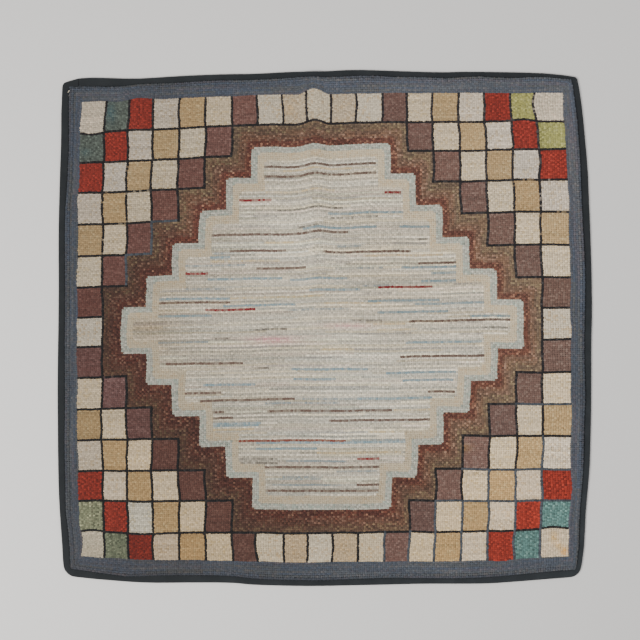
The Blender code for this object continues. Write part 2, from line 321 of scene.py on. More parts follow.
def jogAt(x, y):
    away = x - crestAt(y)
    sagLeft = bell(away + jog["sagAway"], 0, jog["sagWidth"])
    sagRight = bell(away - jog["sagAway"], 0, jog["sagWidth"])
    rise = np.interp(y * 1000, jog["at"], jog["rise"]) * eased(1 - np.abs(away) / jog["halfWidth"])
    sag = np.interp(y * 1000, jog["at"], jog["sag"]) * (sagLeft + jog["sagRight"] * sagRight)
    return (rise - sag) / 1000 * eased((pileEdge("far", x) - y) / jog["stillAtEdge"])


Nudge = namedtuple("Nudge", "x y right far reach")  # in mm, from the rug's middle
nudges = [Nudge(*row) for row in (  # where the hooking strays from the even grid, block by block
    (461, 485, -6.5, 0, 30), (527, 455, -4, 0, 40), (433, 456, 0, 5.5, 28), (205, 482, 0, -4, 38),
    (-508, 432, 0, -5.5, 28), (-536, -475, 6.5, 0, 30), (-149, -480, -6, 0, 28), (-410, 335, -2.6, 0, 110),
    (240, -342, 4, 0, 28), (537, -342, 4.5, 0, 30), (445, -271, 3.6, 0, 40), (-458, -411, -3, 0, 40),
    (501, -440, 0, 5, 28), (-400, -446, 0, -2.6, 60), (-510, -445, 0, 3.5, 26), (505, -58, -3.2, 0, 36),
    (468, 360, 4, 0, 28), (384, -505, 0, -4, 28), (-488, -245, -3, 0, 45), (-491, -5, 2.8, 0, 30),
    (-455, 502, 0, -4, 26), (-403, 506, 0, 3.3, 26),
)]


def swayOf(way, loop, row):
    waves = [size * np.sin(math.tau * (loop / a + row / b)) for size, a, b in sway[way]]
    return sum(waves) / 1000


def placed(loop, row):
    # the x and y of places in the pile, counted in loops from the left and in rows from the far side
    x = (loop / loopsAcross - 0.5) * laying["guess"][0]
    y = (0.5 - row / rowsAlong) * laying["guess"][1]
    lastLoop, lastRow = loopsAcross - border["right"], rowsAlong - border["near"]
    # the loops lie a little back from the tape, and the bare margin doesn't
    inside = (loop > 0) & (loop < loopsAcross) & (row > 0) & (row < rowsAlong)
    for _ in range(laying["rounds"]):
        left = pileEdge("left", y) + setBack["left"] * inside
        right = pileEdge("right", y) - setBack["right"] * inside
        onLeft = left + (columnPlace(border["left"], y) - left) * loop / border["left"]
        onRight = right + (columnPlace(lastLoop, y) - right) * (loopsAcross - loop) / border["right"]
        x = np.where(loop > lastLoop, onRight, columnPlace(loop, y))
        x = np.where(loop < border["left"], onLeft, x)
        far = pileEdge("far", x) - setBack["far"] * inside
        near = pileEdge("near", x) + setBack["near"] * inside
        onFar = far + (rowPlace(border["far"], x) - far) * row / border["far"]
        onNear = near + (rowPlace(lastRow, x) - near) * (rowsAlong - row) / border["near"]
        y = np.where(row > lastRow, onNear, rowPlace(row, x))
        y = np.where(row < border["far"], onFar, y)
    fromEdge = np.minimum(np.minimum(loop, loopsAcross - loop), np.minimum(row, rowsAlong - row))
    inPile = eased(fromEdge / laying["stillAtRim"])
    strayX = swayOf("across", loop, row)
    strayY = swayOf("along", loop, row)
    for nudge in nudges:
        share = bell(x * 1000 - nudge.x, y * 1000 - nudge.y, nudge.reach)
        strayX = strayX + share * nudge.right / 1000
        strayY = strayY + share * nudge.far / 1000
    x = x + inPile * strayX
    y = y + inPile * strayY
    return x, y + jogAt(x, y)


def surfaceAt(x, y):
    # height and slopes of the panel's top under each place
    found = []
    for place in zip(x, y):
        spot, normal, _, _ = panel.ray_cast((*place, above), down)
        if spot is None:
            spot, normal, _, _ = panel.find_nearest((*place, laying["nearTop"]))
        upward = max(normal.z, 0.5)
        found.append((spot.z, -normal.x / upward, -normal.y / upward))
    return np.array(found)


print("cloth read:", loopsAcross, "loops across,", rowsAlong, "rows")

band = {  # the stepped bands inside the blocks: how far in each begins, in loops across and rows along
    "mixed": (3.1, 4),
    "rust": (6.3, 8),
    "blue": (9.4, 11.9),
    "peach": (12.4, 14.9),
    "field": (15.4, 18.9),
}
# yarn numbers; 6 is the blue band, and 7 to 19 are the blocks'
numbers = {"grey": 0, "black": 1, "slate": 2, "olive": 3, "mixed": 4, "rust": 5, "peach": 20, "field": 21}
ringYarns = (numbers["olive"], numbers["mixed"], numbers["rust"])
steps = {"sum": 9.5, "across": 8.5, "along": 6.5, "green": (14.5, 15.5)}  # the middle's reach, in blocks
slate = {  # where the outlines are slate, in blocks from the middle
    "uprightFrom": 16.5,
    "levelFrom": 10.5,
    "lineA": (2.5, 3.5),
    "lineB": (4.5, 6.5),
    "stepsLeftOf": -5.5,
    "stepsLines": (-4.5, -1.5),
}


def pick(mask, ifSo, ifNot):
    return ifNot + mask * (ifSo - ifNot)


def either(one, other):
    return one + other - one * other


def between(value, low, high):
    return (value > low) * 1.0 * (value < high)


def inSteps(across, along):
    # 1 inside the stepped middle, for distances from its centre lines in loops and in rows
    blockAcross = (across + blockLoops / 2) // blockLoops
    blockAlong = (along + blockRows / 2) // blockRows
    inSum = blockAcross + blockAlong < steps["sum"]
    return inSum * 1.0 * (blockAcross < steps["across"]) * (blockAlong < steps["along"])


def softSteps(across, along):
    # the same steps, with the loop at each outer corner left out
    return inSteps(across, along) * either(inSteps(across + 1, along), inSteps(across, along + 1))


def isBlock(column, line):
    return 1 - inSteps(abs(column) * blockLoops, abs(line) * blockRows)


def fromMiddle(loop, row):
    return abs(loop - blockLoops * columnCount / 2 - 0.5), abs(row - blockRows * lineCount / 2)


def yarnNumber(loop, row):
    # loop and row are whole numbers from the far left corner of the blocks
    column = loop // blockLoops - columnCount // 2
    line = row // blockRows - lineCount // 2
    here = isBlock(column, line)
    notFirstColumn = column > 0.5 - columnCount // 2
    notFirstLine = line > 0.5 - lineCount // 2
    atLeft = (loop % blockLoops < 0.5) * 1.0 * notFirstColumn
    atFar = (row % blockRows < 0.5) * 1.0 * notFirstLine
    upright = atLeft * either(here, isBlock(column - 1, line))
    level = atFar * either(here, isBlock(column, line - 1))
    corner = atLeft * atFar * isBlock(column - 1, line - 1)
    outlined = either(either(upright, level), corner)
    # some outlines at the near right and the left are slate, not black
    slateLines = either(between(line, *slate["lineA"]), between(line, *slate["lineB"]))
    slateUpright = upright * (column + 2 * line > slate["uprightFrom"])
    slateLevel = level * (column + line > slate["levelFrom"]) * slateLines
    slateSteps = 1 - here * isBlock(column - 1, line) * isBlock(column, line - 1)
    slateSteps = slateSteps * (column < slate["stepsLeftOf"]) * between(line, *slate["stepsLines"])
    isSlate = either(either(slateUpright, slateLevel), slateSteps)
    diagonal = abs(column) + abs(line)
    green = between(diagonal, *steps["green"])
    atRight = (column > 0) * 1.0
    atNear = (line > 0) * 1.0
    blockYarn = diagonal + green * (1 + atRight + 2 * atNear) * either(atRight, atNear)
    across, along = fromMiddle(loop, row)
    reached = {name: softSteps(across + a, along + b) for name, (a, b) in band.items()}
    inner = numbers["olive"] + reached["mixed"] + reached["rust"] + reached["blue"]
    inner = pick(reached["field"], numbers["field"], pick(reached["peach"], numbers["peach"], inner))
    number = pick(outlined, numbers["black"] + isSlate, pick(here, blockYarn, inner))
    inBlocks = between(loop, -0.5, blockLoops * columnCount - 0.5)
    inBlocks = inBlocks * between(row, -0.5, blockRows * lineCount - 0.5)
    return pick(inBlocks, number, numbers["grey"])


# screen colours of the yarn and of the second one that flecks it, the share of flecks, how much the loops
# differ and how much the rows (or columns), and how the colour fades from left to right and near to far
Yarn = namedtuple("Yarn", "colour fleck share loose striped right far")
yarns = {
    0: Yarn((83, 87, 93), (90, 90, 93), 0.3, 0.11, 0.04, 0.06, 0.07),
    1: Yarn((38, 34, 35), (58, 53, 51), 0.25, 0.12, 0, 0.26, 0.22),
    2: Yarn((80, 84, 89), (66, 70, 75), 0.3, 0.08, 0, 0, 0),
    3: Yarn((99, 83, 67), (114, 99, 77), 0.24, 0.26, 0.06, 0.5, 0.26),
    4: Yarn((110, 81, 66), (118, 95, 79), 0.22, 0.28, 0.06, 0.52, 0.28),
    5: Yarn((101, 62, 50), (124, 92, 74), 0.16, 0.3, 0.07, 0.36, 0.3),
    6: Yarn((162, 160, 151), (154, 157, 148), 0.3, 0.17, 0.06, 0.11, 0.09),
    7: Yarn((178, 170, 156), (170, 158, 140), 0.15, 0.13, 0.05, 0.05, 0),
    8: Yarn((166, 155, 139), (165, 151, 131), 0.2, 0.15, 0.06, 0.2, 0.05),
    9: Yarn((176, 169, 157), (170, 158, 140), 0.15, 0.11, 0.05, 0.09, 0),
    10: Yarn((107, 79, 70), (116, 91, 82), 0.3, 0.12, 0.06, 0.17, 0.19),
    11: Yarn((181, 171, 155), (175, 163, 142), 0.15, 0.13, 0.07, 0.14, -0.04),
    12: Yarn((159, 140, 112), (164, 148, 122), 0.2, 0.13, 0.06, 0.12, 0),
    13: Yarn((179, 171, 160), (172, 161, 145), 0.15, 0.13, 0.07, 0.14, -0.04),
    14: Yarn((142, 53, 37), (134, 51, 37), 0.3, 0.27, 0.07, 0.09, 0),
    15: Yarn((86, 92, 84), (99, 106, 97), 0.3, 0.24, 0.06, 0, 0),
    16: Yarn((177, 169, 157), (186, 176, 164), 0.15, 0.13, 0.06, 0.15, 0.06),
    17: Yarn((147, 144, 101), (155, 152, 115), 0.25, 0.2, 0.08, 0, 0),
    18: Yarn((112, 114, 92), (126, 126, 104), 0.3, 0.27, 0.14, 0, 0),
    19: Yarn((87, 114, 109), (103, 127, 121), 0.3, 0.27, 0.08, 0, 0),
    20: Yarn((174, 165, 149), (174, 162, 143), 0.2, 0.045, 0.04, 0.14, 0.18),
    21: Yarn((187, 181, 170), (176, 171, 160), 0.35, 0.13, 0, 0.14, 0.13),
}
patchYarns = range(7, 20)
grain = {  # how the loops of one yarn differ; pairs are a range
    "balance": 0.30,  # how far a loop evens out the four beside it
    "spread": 1.17,
    "loose": (-1.4, 1.6),
    "tone": (0.3, 2.2),
    "cell": (-1.6, 1.6),
    "plainCell": 0.02,  # between the blocks of a yarn
    "boldCell": 0.04,
    "bold": (10, 14, 18),
    "warmth": 0.012,
    "warm": (-1.5, 1.5),
    "byColumn": (0, 14, 15, 17, 18, 19),  # yarns that differ by column, not by row
}
chances = {"cells": 2000, "strips": 64, "runs": 997}  # how many random values are drawn for each
streakYarns = {  # screen colour, and how much of it shows over the field's own
    "brown": ((108, 88, 77), 0.92),
    "greyBrown": ((98, 90, 82), 0.72),
    "red": ((132, 42, 44), 0.92),
    "rust": ((126, 70, 56), 0.9),
    "blue": ((122, 138, 142), 0.8),
    "slate": ((130, 137, 137), 0.75),
    "grey": ((142, 137, 131), 0.7),
    "tan": ((180, 165, 138), 0.7),
}
streaks = {  # odd lengths of yarn hooked into the field: how far up, and from where to where, in mm
    "brown": (
        (359, -131, 113), (336, -131, 113), (205, -248, 51), (170, -208, -83), (168, -6, 188),
        (145, 203, 289), (18, 183, 408), (131, -149, -43), (54, -367, -206), (-63, 168, 348),
        (-78, -349, -178), (-137, 225, 284), (-144, -312, -228), (-158, -272, -68), (-180, -125, 148),
        (-183, -250, -222), (-200, -250, -204), (-204, 9, 234), (-304, -136, 119), (-332, 71, 117),
        (-355, -134, 117),
    ),
    "greyBrown": (
        (264, -103, 38), (241, 14, 119), (224, -59, -10), (-285, -193, -105), (-297, -195, -103),
        (18, 62, 137), (-2, -158, -85), (-84, -162, -125), (2, 348, 405), (194, 203, 227),
        (-21, -241, -206),
    ),
    "red": (
        (282, -189, -116), (299, 133, 168), (121, -312, -259), (88, 119, 236), (38, -261, -151),
        (-287, 71, 119),
    ),
    "rust": ((-248, -193, 47),),
    "blue": (
        (253, 7, 170), (220, -48, 115), (223, 163, 232), (170, -250, -208), (132, 170, 289),
        (121, 232, 289), (110, -257, -92), (107, -74, 51), (103, 210, 291), (84, -35, 75), (64, -365, -206),
        (60, 95, 251), (54, 199, 348), (52, -224, -65), (34, 117, 269), (28, -365, -246), (26, 317, 408),
        (-30, 177, 346), (-89, -74, 93), (-95, 135, 287), (-112, 170, 284), (-114, -70, 23),
        (-125, -266, -151), (-154, 73, 234), (-211, -250, -142), (-215, -246, -147), (-253, -151, 177),
        (-264, -151, -17),
    ),
    "slate": (
        (136, -312, -175), (180, 27, 86), (162, -241, -200), (131, 25, 128), (97, -310, -215),
        (92, 80, 150), (42, -85, 56), (-30, -365, -255), (-155, -68, 73), (-165, -129, -48),
        (-164, -43, 34), (-246, 56, 177), (-290, -83, 49), (-294, -54, 45), (-316, 25, 117),
        (-328, -94, -4), (-332, -134, -10), (-343, -116, 36), (-346, -76, 12),
    ),
    "grey": (
        (286, -107, 71), (326, -131, -65), (244, -156, -103), (222, -189, -107), (196, -57, 78),
        (187, 150, 227), (141, -134, 1), (118, -74, 1), (96, 278, 342), (79, -362, -213), (77, 82, 148),
        (43, 271, 344), (12, 265, 348), (11, -420, -233), (-14, 71, 190), (-14, 289, 346), (-44, -250, -96),
        (-47, 67, 346), (-63, -54, 40), (-70, -312, -233), (-84, -125, 1), (-131, -103, 97),
        (-231, -57, 91), (142, 25, 56),
    ),
    "tan": (
        (301, -129, 20), (350, -92, 58), (188, -134, -68), (161, 86, 260), (145, -252, -96), (11, 104, 174),
        (-178, 150, 234), (-221, -261, -156), (-228, 95, 177), (70, -206, 1), (-4, 115, 203),
        (-48, -10, 67), (-275, -17, 166), (55, 1, 122),
    ),
}
Stain = namedtuple("Stain", "x y halfWidth halfHeight colour strength")
stains = [Stain(*row) for row in (
    (-0.11, -0.026, 0.055, 0.008, (196, 146, 152), 0.55), (0.05, 0.005, 0.06, 0.006, (194, 146, 152), 0.48),
    (0.503, -0.46, 0.009, 0.016, (186, 158, 108), 0.6), (0.514, -0.478, 0.007, 0.01, (190, 158, 100), 0.5),
    (0.525, -0.489, 0.007, 0.01, (198, 156, 80), 0.85), (-0.08, 0.48, 0.016, 0.014, (184, 156, 108), 0.25),
    (-0.47, 0.472, 0.012, 0.024, (62, 90, 94), 0.6), (-0.525, 0.385, 0.012, 0.01, (62, 90, 94), 0.35),
    (0.3, -0.262, 0.022, 0.01, (150, 124, 74), 0.45),
)]

pile = {  # lengths in m; pairs are a range
    "sides": 5,
    "halfLength": 0.0041,  # along the row, at the foot
    "halfWidth": 0.0032,  # across the row
    "sizes": (0.93, 1.07),
    "crown": 0.78,  # the loop's top as a share of its foot
    "drop": 0.0013,  # from top to foot
    "rimDrop": 0.0036,  # the same for the loops at the pile's edge
    "turn": 36,  # degrees either way
    "wander": 0.00040,
    "uneven": 0.000132,
    "swell": 0.00025,  # of the broad, low waves in the pile
    "lean": 0.0004,
    "stout": (0.03, 0.20),  # how much longer and wider the loops of an odd length of yarn are
    "stoutRise": 0.0003,
    "ragged": (-0.17, 0.07),  # how much shorter or longer the loops of the outlines are
    "raggedWander": 1.8,
    "rimTone": 0.84,  # loops at the rim lie in the tape's shade
    "rimShade": 0.60,
    "lowest": 0.0006,  # no loop reaches the floor
    "footShade": 0.96,  # loops are darker down between each other
    "piecesOf": 52,  # rows in each piece
    "cell": 0.46,  # half a loop's room in the layout
    "seed": 7,
}


def takeMesh(piece):
    # its points and faces as arrays; the piece itself isn't kept
    points, faces = meshOf(piece)
    bpy.data.objects.remove(piece)
    return np.array(points), np.array(faces)


def loopTemplate():
    # one loop of yarn: a wide foot and a smaller, flat crown, open below where it is rooted
    deselectAll()
    bpy.ops.mesh.primitive_cone_add(
        vertices=pile["sides"], radius1=1.0, radius2=pile["crown"], depth=1.0,
        end_fill_type="NGON", location=(0, 0, -0.5),
    )
    loop = bpy.context.object
    startEdit("DESELECT")
    endEdit()
    for face in loop.data.polygons:
        face.select = face.normal.z < -0.9
    bpy.ops.object.mode_set(mode="EDIT")
    bpy.ops.mesh.delete(type="FACE")
    bpy.ops.mesh.select_all(action="SELECT")
    bpy.ops.mesh.quads_convert_to_tris()
    endEdit()
    return takeMesh(loop)


def joinCopies(name, points, faces, colours=None, layout=None):
    # one mesh of many copies: points is (copies, vertices, 3), colours (copies, vertices, 3)
    copies, each, _ = points.shape
    allFaces = (faces[None, :, :] + np.arange(copies)[:, None, None] * each).reshape(-1, 3)
    mesh = bpy.data.meshes.new(name)
    mesh.from_pydata(points.reshape(-1, 3), [], allFaces)
    if colours is not None:
        painted = mesh.color_attributes.new(name="yarn", type="FLOAT_COLOR", domain="POINT")
        rgba = np.ones((copies * each, 4), np.float32)
        rgba[:, :3] = colours.reshape(-1, 3)
        painted.data.foreach_set("color", rgba.ravel())
    if layout is not None:
        setUv(mesh, mesh.uv_layers.new(name="OFBake"), layout.reshape(-1, 2))
    mesh.shade_smooth()
    made = bpy.data.objects.new(name, mesh)
    bpy.context.scene.collection.objects.link(made)
    return made


def setUv(mesh, layer, places):
    corners = np.empty(len(mesh.loops), np.int32)
    mesh.loops.foreach_get("vertex_index", corners)
    layer.data.foreach_set("uv", places[corners].astype(np.float32).ravel())


rng = np.random.default_rng(pile["seed"])
rowOf, loopOf = (place.ravel() for place in np.indices((rowsAlong, loopsAcross)))
count = len(loopOf)
loopX, loopY = placed(loopOf + 0.5, rowOf + 0.5)
patternLoop = loopOf - border["left"] + 0.0
patternRow = rowOf - border["far"] + 0.0
columnOf = patternLoop // blockLoops
lineOf = patternRow // blockRows
yarnOf = np.rint(yarnNumber(patternLoop, patternRow)).astype(int)
isOutline = (yarnOf == numbers["black"]) | (yarnOf == numbers["slate"])
fromSides = np.minimum(loopOf, loopsAcross - 1 - loopOf)
fromEnds = np.minimum(rowOf, rowsAlong - 1 - rowOf)
fromRim = np.minimum(fromSides, fromEnds)


def drawn(low, high):
    # a number for each loop
    return rng.uniform(low, high, count)


zone = {  # the dark rings round the field, loop by loop inward from their outline
    "rust": (0.0, 0.05, 0.15, 0.30, 0.45, 0.48, 0.72, 1.0, 1.0, 0.85),  # the share of rust in the olive
    "rustNearLeft": 0.22,
    "nearward": 0.4,
    "tone": (1.05, 1.0, 1.0, 1.03, 0.98, 1.10, 0.98, 0.90, 0.97, 1.05),
    "tints": ((1, 1, 1), (1.16, 1.13, 1.04), (0.84, 0.83, 0.84), (1.05, 0.98, 0.92), (0.93, 0.95, 0.95)),
    "pitch": 1.27,  # rows to a loop
    "run": 9,  # loops to a tint
}
fadingAndPaintedLight = {
    # painted light: every yarn is made lighter towards the right, away from the lamp at the left
    "paintedLightRightward": 0.15,
    "redYarn": 10,
    "redAtLeft": 0.18,
    "ringsRedNear": 0.16,
    "yellowYarns": range(8, 17),
    "yellowNear": (0.0, 0.07, 0.20),
}
Lot = namedtuple("Lot", "line column light cool")
dyeLots = [Lot(*row) for row in (  # blocks of lighter, darker, cooler or warmer wool, from the far left
    (9, 1, 0.32, 0.12), (8, 0, 0.08, 0.08), (10, 2, 0.1, 0.05), (11, 3, -0.14, -0.06),
    (12, 4, -0.13, -0.07), (13, 5, -0.12, -0.07), (14, 6, -0.14, -0.06), (6, 0, -0.04, -0.05),
    (14, 2, -0.38, 0), (11, 15, 0.42, 0.02), (0, 12, -0.18, 0), (1, 13, -0.12, 0), (5, 17, -0.12, -0.02),
    (6, 18, -0.12, -0.05), (14, 12, 0.34, 0), (12, 14, 0.26, 0), (14, 3, -0.19, -0.02),
    (14, 4, -0.1, -0.02), (0, 18, -0.12, 0), (13, 0, 0.24, 0), (14, 1, -0.27, 0.07), (10, 0, -0.12, 0.02),
    (12, 16, 0.14, 0), (11, 0, -0.08, 0), (13, 17, 0.1, -0.03), (13, 2, 0.08, 0.13), (14, 0, 0, 0.08),
    (13, 18, 0.14, 0), (11, 17, 0.12, 0), (11, 18, 0.1, 0), (11, 16, 0.08, 0.02), (3, 17, -0.08, -0.02),
    (1, 5, 0.1, 0.03), (2, 16, -0.08, -0.02), (1, 1, 0, -0.02), (12, 0, -0.14, -0.02), (0, 0, 0.09, 0),
    (11, 2, 0.09, 0), (14, 5, -0.1, 0), (12, 15, 0.09, 0), (0, 16, -0.16, 0), (1, 3, 0.05, 0.02),
)]
Fade = namedtuple("Fade", "part x y reach light warm")
fades = [Fade(*row) for row in (  # where a yarn is lighter or darker, and warmer, than elsewhere
    ("rings", -0.27, 0.25, 0.13, 0.4, 0.02), ("rings", 0.3, 0.25, 0.1, 0.05, 0),
    ("rings", 0.27, -0.27, 0.13, 0.12, 0.03), ("rings", 0.1, -0.42, 0.09, 0.16, 0.02),
    ("rings", 0.42, -0.11, 0.09, 0.12, 0), ("rings", -0.4, -0.1, 0.09, 0.18, 0),
    ("field", -0.08, 0.2, 0.11, 0.2, -0.02), ("field", 0.07, -0.16, 0.13, 0.17, -0.04),
    ("field", -0.39, 0, 0.08, -0.28, 0.07), ("field", -0.21, -0.19, 0.06, -0.13, 0),
    ("field", -0.03, -0.35, 0.06, -0.1, 0), ("field", 0.15, 0.07, 0.1, -0.06, 0.02),
    ("field", 0.27, -0.06, 0.1, 0.08, 0), ("border", -0.35, -0.55, 0.22, -0.14, 0.05),
    ("border", 0.12, 0.56, 0.18, 0.22, 0.04), ("border", 0.56, 0.36, 0.18, 0.04, 0.05),
    ("border", 0.56, -0.15, 0.1, -0.12, 0), ("border", 0.2, -0.54, 0.12, 0.08, 0),
)]
fadedYarns = {"rings": ringYarns, "field": (numbers["field"],), "border": (numbers["grey"],)}
wear = {
    "light": (1.12, 0.40, 0.36),  # of the upright outlines: in the middle, rightward and farward
    # line and column of the blocks whose dark outline is gappy
    "blocks": ((0, 18), (2, 2), (3, 1), (3, 2), (3, 17), (3, 18), (4, 1), (4, 18), (9, 1)),
    "gaps": 0.20,
    "own": 0.72,
    "beside": 0.28,
}
borderRun = 26  # loops
borderTints = (
    (1.0, 1.0, 1.0), (1.12, 1.02, 1.05), (0.92, 0.95, 1.0), (1.18, 1.15, 1.10), (0.88, 0.87, 0.92),
    (0.94, 1.0, 1.12), (1.06, 1.02, 0.93),
)
field = {  # tints of its yarn with their shares; pairs are a range
    "tints": (
        ((1.00, 1.00, 1.00), 0.26), ((1.04, 1.02, 0.97), 0.20), ((0.95, 0.96, 0.97), 0.13),
        ((0.88, 0.92, 0.95), 0.10), ((1.04, 1.00, 0.90), 0.11), ((1.00, 0.95, 0.95), 0.06),
        ((0.85, 0.84, 0.82), 0.07), ((0.94, 0.97, 0.92), 0.07),
    ),
    "run": (18, 75),  # loops
    "rows": (0.88, 1.12),  # every other row is lighter, the others darker as painted shade in the gaps between rows
    "shade": (0.76, 1.16),
    "bold": ("brown", "red", "rust", "blue"),
    "boldCover": 0.75,
    "paleCover": 0.35,
}


def ringYarn(mine, rings, cell):
    # the dark rings: olive with more and more rust inward, in short lengths of slightly different dye
    ring = rings[mine]
    leftward = zone["rustNearLeft"] * (-loopX[mine] - zone["nearward"] * loopY[mine]) / halfRug
    rust = np.clip(np.array(zone["rust"])[ring] + leftward, 0, 1)[:, None]
    plain = (1 - rust) * dyed(yarns[numbers["olive"]].colour) + rust * dyed(yarns[numbers["rust"]].colour)
    plain = plain * np.array(zone["tone"])[ring][:, None]
    run = ring * 31 + cell[mine] * 7 + (loopOf[mine] + rowOf[mine]) // zone["run"]
    choice = rng.integers(0, len(zone["tints"]), chances["runs"])[run % chances["runs"]]
    return plain * np.array(zone["tints"])[choice]


def paintLoops():
    # the colour of every loop, as light
    colour = np.zeros((count, 3))
    chance = rng.random(count)
    loose = rng.normal(size=count)
    # a light loop tends to have darker ones beside it, so the wool looks grainy and not blotchy
    beside = sum(np.roll(loose, step) for step in (-1, 1, -loopsAcross, loopsAcross))
    loose = np.clip((loose - grain["balance"] * beside) / grain["spread"], *grain["loose"])
    across, along = fromMiddle(patternLoop, patternRow)
    rings = sum(softSteps(across + n, along + zone["pitch"] * n) for n in range(1, len(zone["rust"])))
    rings = np.rint(rings).astype(int)
    cell = (lineOf * 40 + columnOf).astype(int)
    cellTone = rng.normal(size=chances["cells"])[cell % chances["cells"]]
    ofLot = np.ones((count, 3))
    for lot in dyeLots:
        inLot = (lineOf == lot.line) & (columnOf == lot.column)
        ofLot[inLot] = np.array((1 - lot.cool, 1.0, 1 + lot.cool)) * (1 + lot.light)
        cellTone[inLot] = 0
    cellTone = np.clip(cellTone, *grain["cell"])
    cellWarmth = rng.normal(size=chances["cells"])[(cell + 7) % chances["cells"]]
    cellWarmth = grain["warmth"] * np.clip(cellWarmth, *grain["warm"])
    strips = chances["strips"]
    byRow = rng.normal(size=(rowsAlong + 1, strips))[rowOf, (columnOf.astype(int) + 8) % strips]
    byColumn = rng.normal(size=(loopsAcross + 1, strips))[loopOf, (lineOf.astype(int) + 8) % strips]
    for number, yarn in yarns.items():
        mine = yarnOf == number
        x, y = loopX[mine] / halfRug, loopY[mine] / halfRug
        plain = ringYarn(mine, rings, cell) if number in ringYarns else dyed(yarn.colour)
        own = np.where((chance[mine] < yarn.share)[:, None], dyed(yarn.fleck), plain)
        strip = (byColumn if number in grain["byColumn"] else byRow)[mine]
        tone = np.exp(yarn.loose * loose[mine]) + yarn.striped * strip
        # besides each yarn's own slope, every yarn is lighter towards the right as painted light
        tone = tone * np.exp((yarn.right + fadingAndPaintedLight["paintedLightRightward"]) * x + yarn.far * y)
        if number in patchYarns:
            warm = cellWarmth[mine]
            tone += grain["boldCell" if number in grain["bold"] else "plainCell"] * cellTone[mine]
            own *= ofLot[mine] * np.stack((1 + warm, 1 + 0 * warm, 1 - 1.5 * warm), axis=1)
        own *= np.clip(tone, *grain["tone"])[:, None]
        if number == fadingAndPaintedLight["redYarn"]:
            own[:, 1:] *= 1 + fadingAndPaintedLight["redAtLeft"] * x[:, None]
        elif number in ringYarns[:2]:
            own[:, 1:] *= 1 - fadingAndPaintedLight["ringsRedNear"] * np.clip(-x - y, 0, 1)[:, None]
        elif number in fadingAndPaintedLight["yellowYarns"]:
            own *= 1 - np.array(fadingAndPaintedLight["yellowNear"]) * np.clip(-y, 0, 1)[:, None]
        colour[mine] = own
    stout = paintField(colour)
    paintBorder(colour)
    for fade in fades:
        mine = np.isin(yarnOf, fadedYarns[fade.part])
        share = bell(loopX[mine] - fade.x, loopY[mine] - fade.y, fade.reach)[:, None]
        colour[mine] *= 1 + share * np.array((fade.light + fade.warm, fade.light, fade.light - fade.warm))
    wearOutlines(colour, chance)
    for stain in stains:
        away = ((loopX - stain.x) / stain.halfWidth) ** 2 + ((loopY - stain.y) / stain.halfHeight) ** 2
        amount = stain.strength * np.exp(-away * 1.2) * drawn(0.6, 1.2) * (yarnOf > numbers["rust"])
        colour = colour + amount[:, None] * (dyed(stain.colour) - colour)
    return np.clip(colour, 0.004, 0.9), stout | isOutline


def wearOutlines(colour, chance):
    # outlines are lighter to the far right, and some have loops of the next yarn showing in them
    onUpright = patternLoop % blockLoops < 0.5
    upright = isOutline & onUpright & (patternRow % blockRows > 0.5)
    level, right, far = wear["light"]
    colour[upright] *= (level + right * loopX[upright] + far * loopY[upright])[:, None]
    for line, column in wear["blocks"]:
        gaps = np.flatnonzero(isOutline & (lineOf == line) & (columnOf == column) & (chance < wear["gaps"]))
        neighbour = gaps + np.where(onUpright[gaps], 1, loopsAcross)
        colour[gaps] = wear["own"] * colour[gaps] + wear["beside"] * colour[neighbour]


def paintBorder(colour):
    # the border's yarn runs round the rug, each length a little different; the odd factors scatter them
    atSides = fromSides < fromEnds
    ring = np.where(atSides, fromSides, fromEnds)
    along = np.where(atSides, rowOf, loopOf)
    side = atSides * 2 + np.where(atSides, loopOf, rowOf) // 120
    run = (along + 17 * ring + 11 * side) // borderRun
    length = (run * 7 + ring * 31 + side * 57) % chances["runs"]
    choice = rng.integers(0, len(borderTints), chances["runs"])[length]
    mine = yarnOf == numbers["grey"]
    colour[mine] *= np.array(borderTints)[choice[mine]]


def paintField(colour):
    # the field's yarn changes every few hundred loops, and odd lengths of other yarn lie in it
    inField = yarnOf == numbers["field"]
    tints = np.array([tint for tint, share in field["tints"]])
    shares = [share for tint, share in field["tints"]]
    for row in range(rowsAlong):
        at = 0
        while at < loopsAcross:
            run = int(rng.integers(*field["run"]))
            tint = tints[rng.choice(len(tints), p=shares)]
            mine = slice(row * loopsAcross + at, row * loopsAcross + min(at + run, loopsAcross))
            # the rows' painted shade, by turns, times a random tone of the yarn's own
            shade = field["rows"][row % 2] * rng.uniform(*field["shade"])
            colour[mine][inField[mine]] *= tint * shade
            at += run
    stout = np.zeros(count, bool)
    for name, group in streaks.items():
        tint, strength = streakYarns[name]
        tint = dyed(tint)
        isBold = name in field["bold"]
        for level, left, right in np.array(group) / 1000:
            inReach = inField & (loopX > left) & (loopX < right) & (abs(loopY - level) < 0.02)
            inRow = np.bincount(rowOf[inReach], None, rowsAlong)
            heights = np.bincount(rowOf[inReach], loopY[inReach], rowsAlong) / np.maximum(inRow, 1)
            away = np.where(inRow > 0.9 * inRow.max(), np.abs(heights - level), 9.0)  # of whole rows
            onRow = inReach & (rowOf == np.argmin(away))
            cover = rng.uniform(field["boldCover" if isBold else "paleCover"], 1.2, onRow.sum())
            amount = np.clip(strength * cover, 0, 1)[:, None]
            colour[onRow] += amount * (tint - colour[onRow])
            stout[onRow] = isBold
    return stout


loopColour, stoutLoop = paintLoops()
surface = surfaceAt(loopX, loopY)
print("pattern hooked:", count, "loops")


